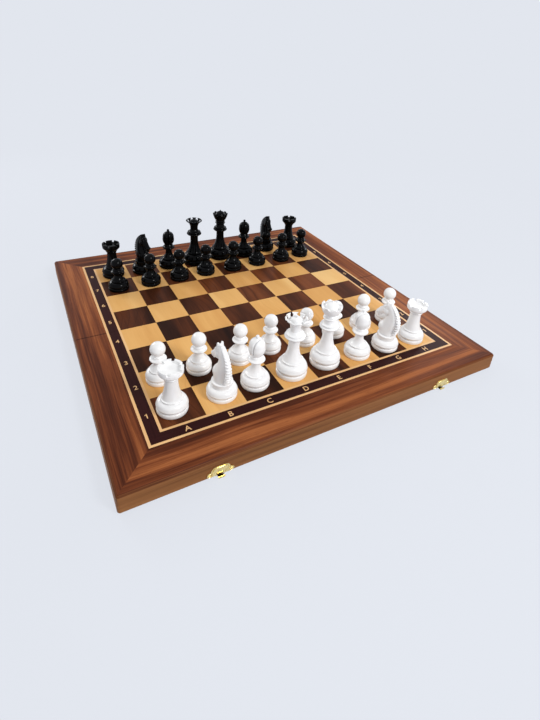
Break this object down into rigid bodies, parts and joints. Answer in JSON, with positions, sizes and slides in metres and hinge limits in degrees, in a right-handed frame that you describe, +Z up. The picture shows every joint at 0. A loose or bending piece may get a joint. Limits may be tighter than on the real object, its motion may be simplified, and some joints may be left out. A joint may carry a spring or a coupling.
{
  "type": "folding chess board box with chessmen",
  "caption": "Hinged wooden chess board that folds into a clasped box for its men, with lettered border, inlaid squares and a full set of turned plastic men.",
  "frame": {"origin": "on the table under the middle of the open board, at the fold", "axes": "+X along the ranks from the a-file to the h-file, +Y up the files from white to black, +Z up out of the playing surface; stored open, as it is played on"},
  "size_m": [0.5, 0.5076, 0.1146],
  "materials": {
    "walnut_walls": "satin lacquer over lengthwise walnut grain",
    "panel_wood": "satin plywood edge, stained dark",
    "walnut_border": "satin walnut veneer, mitred",
    "maple_stringing": "satin pale inlay",
    "dark_band": "satin dark inlay",
    "light_squares": "satin light veneer",
    "dark_squares": "satin dark veneer",
    "felt": "short green felt",
    "brass": "bright plated",
    "white_plastic": "gloss",
    "black_plastic": "gloss"
  },
  "bodies": {
    "front_half": {"front_walls": "walnut_walls", "front_panel": "panel_wood", "front_border": "walnut_border", "front_stringing": "maple_stringing", "front_band": "dark_band", "front_light_squares": "light_squares", "front_dark_squares": "dark_squares", "front_lining": "felt", "front_hinge_leaves": "brass", "hinge_pins": "brass", "front_hinge_screws": "brass", "catch_plates": "brass", "catch_screws": "brass"},
    "back_half": {"back_walls": "walnut_walls", "back_panel": "panel_wood", "back_border": "walnut_border", "back_stringing": "maple_stringing", "back_band": "dark_band", "back_light_squares": "light_squares", "back_dark_squares": "dark_squares", "back_lining": "felt", "back_hinge_leaves": "brass", "back_hinge_screws": "brass", "hasp_plates": "brass", "hasp_screws": "brass"},
    "left_clasp": {"left_bail": "brass"},
    "right_clasp": {"right_bail": "brass"},
    "white_rook_a": {"white_rook_a": "white_plastic"},
    "white_knight_b": {"white_knight_b": "white_plastic"},
    "white_bishop_c": {"white_bishop_c": "white_plastic"},
    "white_queen": {"white_queen": "white_plastic"},
    "white_king": {"white_king": "white_plastic"},
    "white_bishop_f": {"white_bishop_f": "white_plastic"},
    "white_knight_g": {"white_knight_g": "white_plastic"},
    "white_rook_h": {"white_rook_h": "white_plastic"},
    "white_pawn_a": {"white_pawn_a": "white_plastic"},
    "white_pawn_b": {"white_pawn_b": "white_plastic"},
    "white_pawn_c": {"white_pawn_c": "white_plastic"},
    "white_pawn_d": {"white_pawn_d": "white_plastic"},
    "white_pawn_e": {"white_pawn_e": "white_plastic"},
    "white_pawn_f": {"white_pawn_f": "white_plastic"},
    "white_pawn_g": {"white_pawn_g": "white_plastic"},
    "white_pawn_h": {"white_pawn_h": "white_plastic"},
    "black_rook_a": {"black_rook_a": "black_plastic"},
    "black_knight_b": {"black_knight_b": "black_plastic"},
    "black_bishop_c": {"black_bishop_c": "black_plastic"},
    "black_queen": {"black_queen": "black_plastic"},
    "black_king": {"black_king": "black_plastic"},
    "black_bishop_f": {"black_bishop_f": "black_plastic"},
    "black_knight_g": {"black_knight_g": "black_plastic"},
    "black_rook_h": {"black_rook_h": "black_plastic"},
    "black_pawn_a": {"black_pawn_a": "black_plastic"},
    "black_pawn_b": {"black_pawn_b": "black_plastic"},
    "black_pawn_c": {"black_pawn_c": "black_plastic"},
    "black_pawn_d": {"black_pawn_d": "black_plastic"},
    "black_pawn_e": {"black_pawn_e": "black_plastic"},
    "black_pawn_f": {"black_pawn_f": "black_plastic"},
    "black_pawn_g": {"black_pawn_g": "black_plastic"},
    "black_pawn_h": {"black_pawn_h": "black_plastic"}
  },
  "joints": [
    {"name": "board_fold", "type": "hinge", "parent": "front_half", "child": "back_half", "pos_m": [0, 0, 0.0016], "axis": [-1, 0, 0], "range_deg": [0, 180]},
    {"name": "left_clasp_swing", "type": "hinge", "parent": "back_half", "child": "left_clasp", "pos_m": [-0.152, 0.2519, 0.0066], "axis": [-1, 0, 0], "range_deg": [0, 184.4]},
    {"name": "right_clasp_swing", "type": "hinge", "parent": "back_half", "child": "right_clasp", "pos_m": [0.152, 0.2519, 0.0066], "axis": [-1, 0, 0], "range_deg": [0, 184.4]},
    {"name": "lift_white_rook_a", "type": "slide", "parent": "front_half", "child": "white_rook_a", "axis": [0, 0, 1], "range_m": [0, 0.1]},
    {"name": "lift_white_knight_b", "type": "slide", "parent": "front_half", "child": "white_knight_b", "axis": [0, 0, 1], "range_m": [0, 0.1]},
    {"name": "lift_white_bishop_c", "type": "slide", "parent": "front_half", "child": "white_bishop_c", "axis": [0, 0, 1], "range_m": [0, 0.1]},
    {"name": "lift_white_queen", "type": "slide", "parent": "front_half", "child": "white_queen", "axis": [0, 0, 1], "range_m": [0, 0.1]},
    {"name": "lift_white_king", "type": "slide", "parent": "front_half", "child": "white_king", "axis": [0, 0, 1], "range_m": [0, 0.1]},
    {"name": "lift_white_bishop_f", "type": "slide", "parent": "front_half", "child": "white_bishop_f", "axis": [0, 0, 1], "range_m": [0, 0.1]},
    {"name": "lift_white_knight_g", "type": "slide", "parent": "front_half", "child": "white_knight_g", "axis": [0, 0, 1], "range_m": [0, 0.1]},
    {"name": "lift_white_rook_h", "type": "slide", "parent": "front_half", "child": "white_rook_h", "axis": [0, 0, 1], "range_m": [0, 0.1]},
    {"name": "lift_white_pawn_a", "type": "slide", "parent": "front_half", "child": "white_pawn_a", "axis": [0, 0, 1], "range_m": [0, 0.1]},
    {"name": "lift_white_pawn_b", "type": "slide", "parent": "front_half", "child": "white_pawn_b", "axis": [0, 0, 1], "range_m": [0, 0.1]},
    {"name": "lift_white_pawn_c", "type": "slide", "parent": "front_half", "child": "white_pawn_c", "axis": [0, 0, 1], "range_m": [0, 0.1]},
    {"name": "lift_white_pawn_d", "type": "slide", "parent": "front_half", "child": "white_pawn_d", "axis": [0, 0, 1], "range_m": [0, 0.1]},
    {"name": "lift_white_pawn_e", "type": "slide", "parent": "front_half", "child": "white_pawn_e", "axis": [0, 0, 1], "range_m": [0, 0.1]},
    {"name": "lift_white_pawn_f", "type": "slide", "parent": "front_half", "child": "white_pawn_f", "axis": [0, 0, 1], "range_m": [0, 0.1]},
    {"name": "lift_white_pawn_g", "type": "slide", "parent": "front_half", "child": "white_pawn_g", "axis": [0, 0, 1], "range_m": [0, 0.1]},
    {"name": "lift_white_pawn_h", "type": "slide", "parent": "front_half", "child": "white_pawn_h", "axis": [0, 0, 1], "range_m": [0, 0.1]},
    {"name": "lift_black_rook_a", "type": "slide", "parent": "back_half", "child": "black_rook_a", "axis": [0, 0, 1], "range_m": [0, 0.1]},
    {"name": "lift_black_knight_b", "type": "slide", "parent": "back_half", "child": "black_knight_b", "axis": [0, 0, 1], "range_m": [0, 0.1]},
    {"name": "lift_black_bishop_c", "type": "slide", "parent": "back_half", "child": "black_bishop_c", "axis": [0, 0, 1], "range_m": [0, 0.1]},
    {"name": "lift_black_queen", "type": "slide", "parent": "back_half", "child": "black_queen", "axis": [0, 0, 1], "range_m": [0, 0.1]},
    {"name": "lift_black_king", "type": "slide", "parent": "back_half", "child": "black_king", "axis": [0, 0, 1], "range_m": [0, 0.1]},
    {"name": "lift_black_bishop_f", "type": "slide", "parent": "back_half", "child": "black_bishop_f", "axis": [0, 0, 1], "range_m": [0, 0.1]},
    {"name": "lift_black_knight_g", "type": "slide", "parent": "back_half", "child": "black_knight_g", "axis": [0, 0, 1], "range_m": [0, 0.1]},
    {"name": "lift_black_rook_h", "type": "slide", "parent": "back_half", "child": "black_rook_h", "axis": [0, 0, 1], "range_m": [0, 0.1]},
    {"name": "lift_black_pawn_a", "type": "slide", "parent": "back_half", "child": "black_pawn_a", "axis": [0, 0, 1], "range_m": [0, 0.1]},
    {"name": "lift_black_pawn_b", "type": "slide", "parent": "back_half", "child": "black_pawn_b", "axis": [0, 0, 1], "range_m": [0, 0.1]},
    {"name": "lift_black_pawn_c", "type": "slide", "parent": "back_half", "child": "black_pawn_c", "axis": [0, 0, 1], "range_m": [0, 0.1]},
    {"name": "lift_black_pawn_d", "type": "slide", "parent": "back_half", "child": "black_pawn_d", "axis": [0, 0, 1], "range_m": [0, 0.1]},
    {"name": "lift_black_pawn_e", "type": "slide", "parent": "back_half", "child": "black_pawn_e", "axis": [0, 0, 1], "range_m": [0, 0.1]},
    {"name": "lift_black_pawn_f", "type": "slide", "parent": "back_half", "child": "black_pawn_f", "axis": [0, 0, 1], "range_m": [0, 0.1]},
    {"name": "lift_black_pawn_g", "type": "slide", "parent": "back_half", "child": "black_pawn_g", "axis": [0, 0, 1], "range_m": [0, 0.1]},
    {"name": "lift_black_pawn_h", "type": "slide", "parent": "back_half", "child": "black_pawn_h", "axis": [0, 0, 1], "range_m": [0, 0.1]}
  ]
}
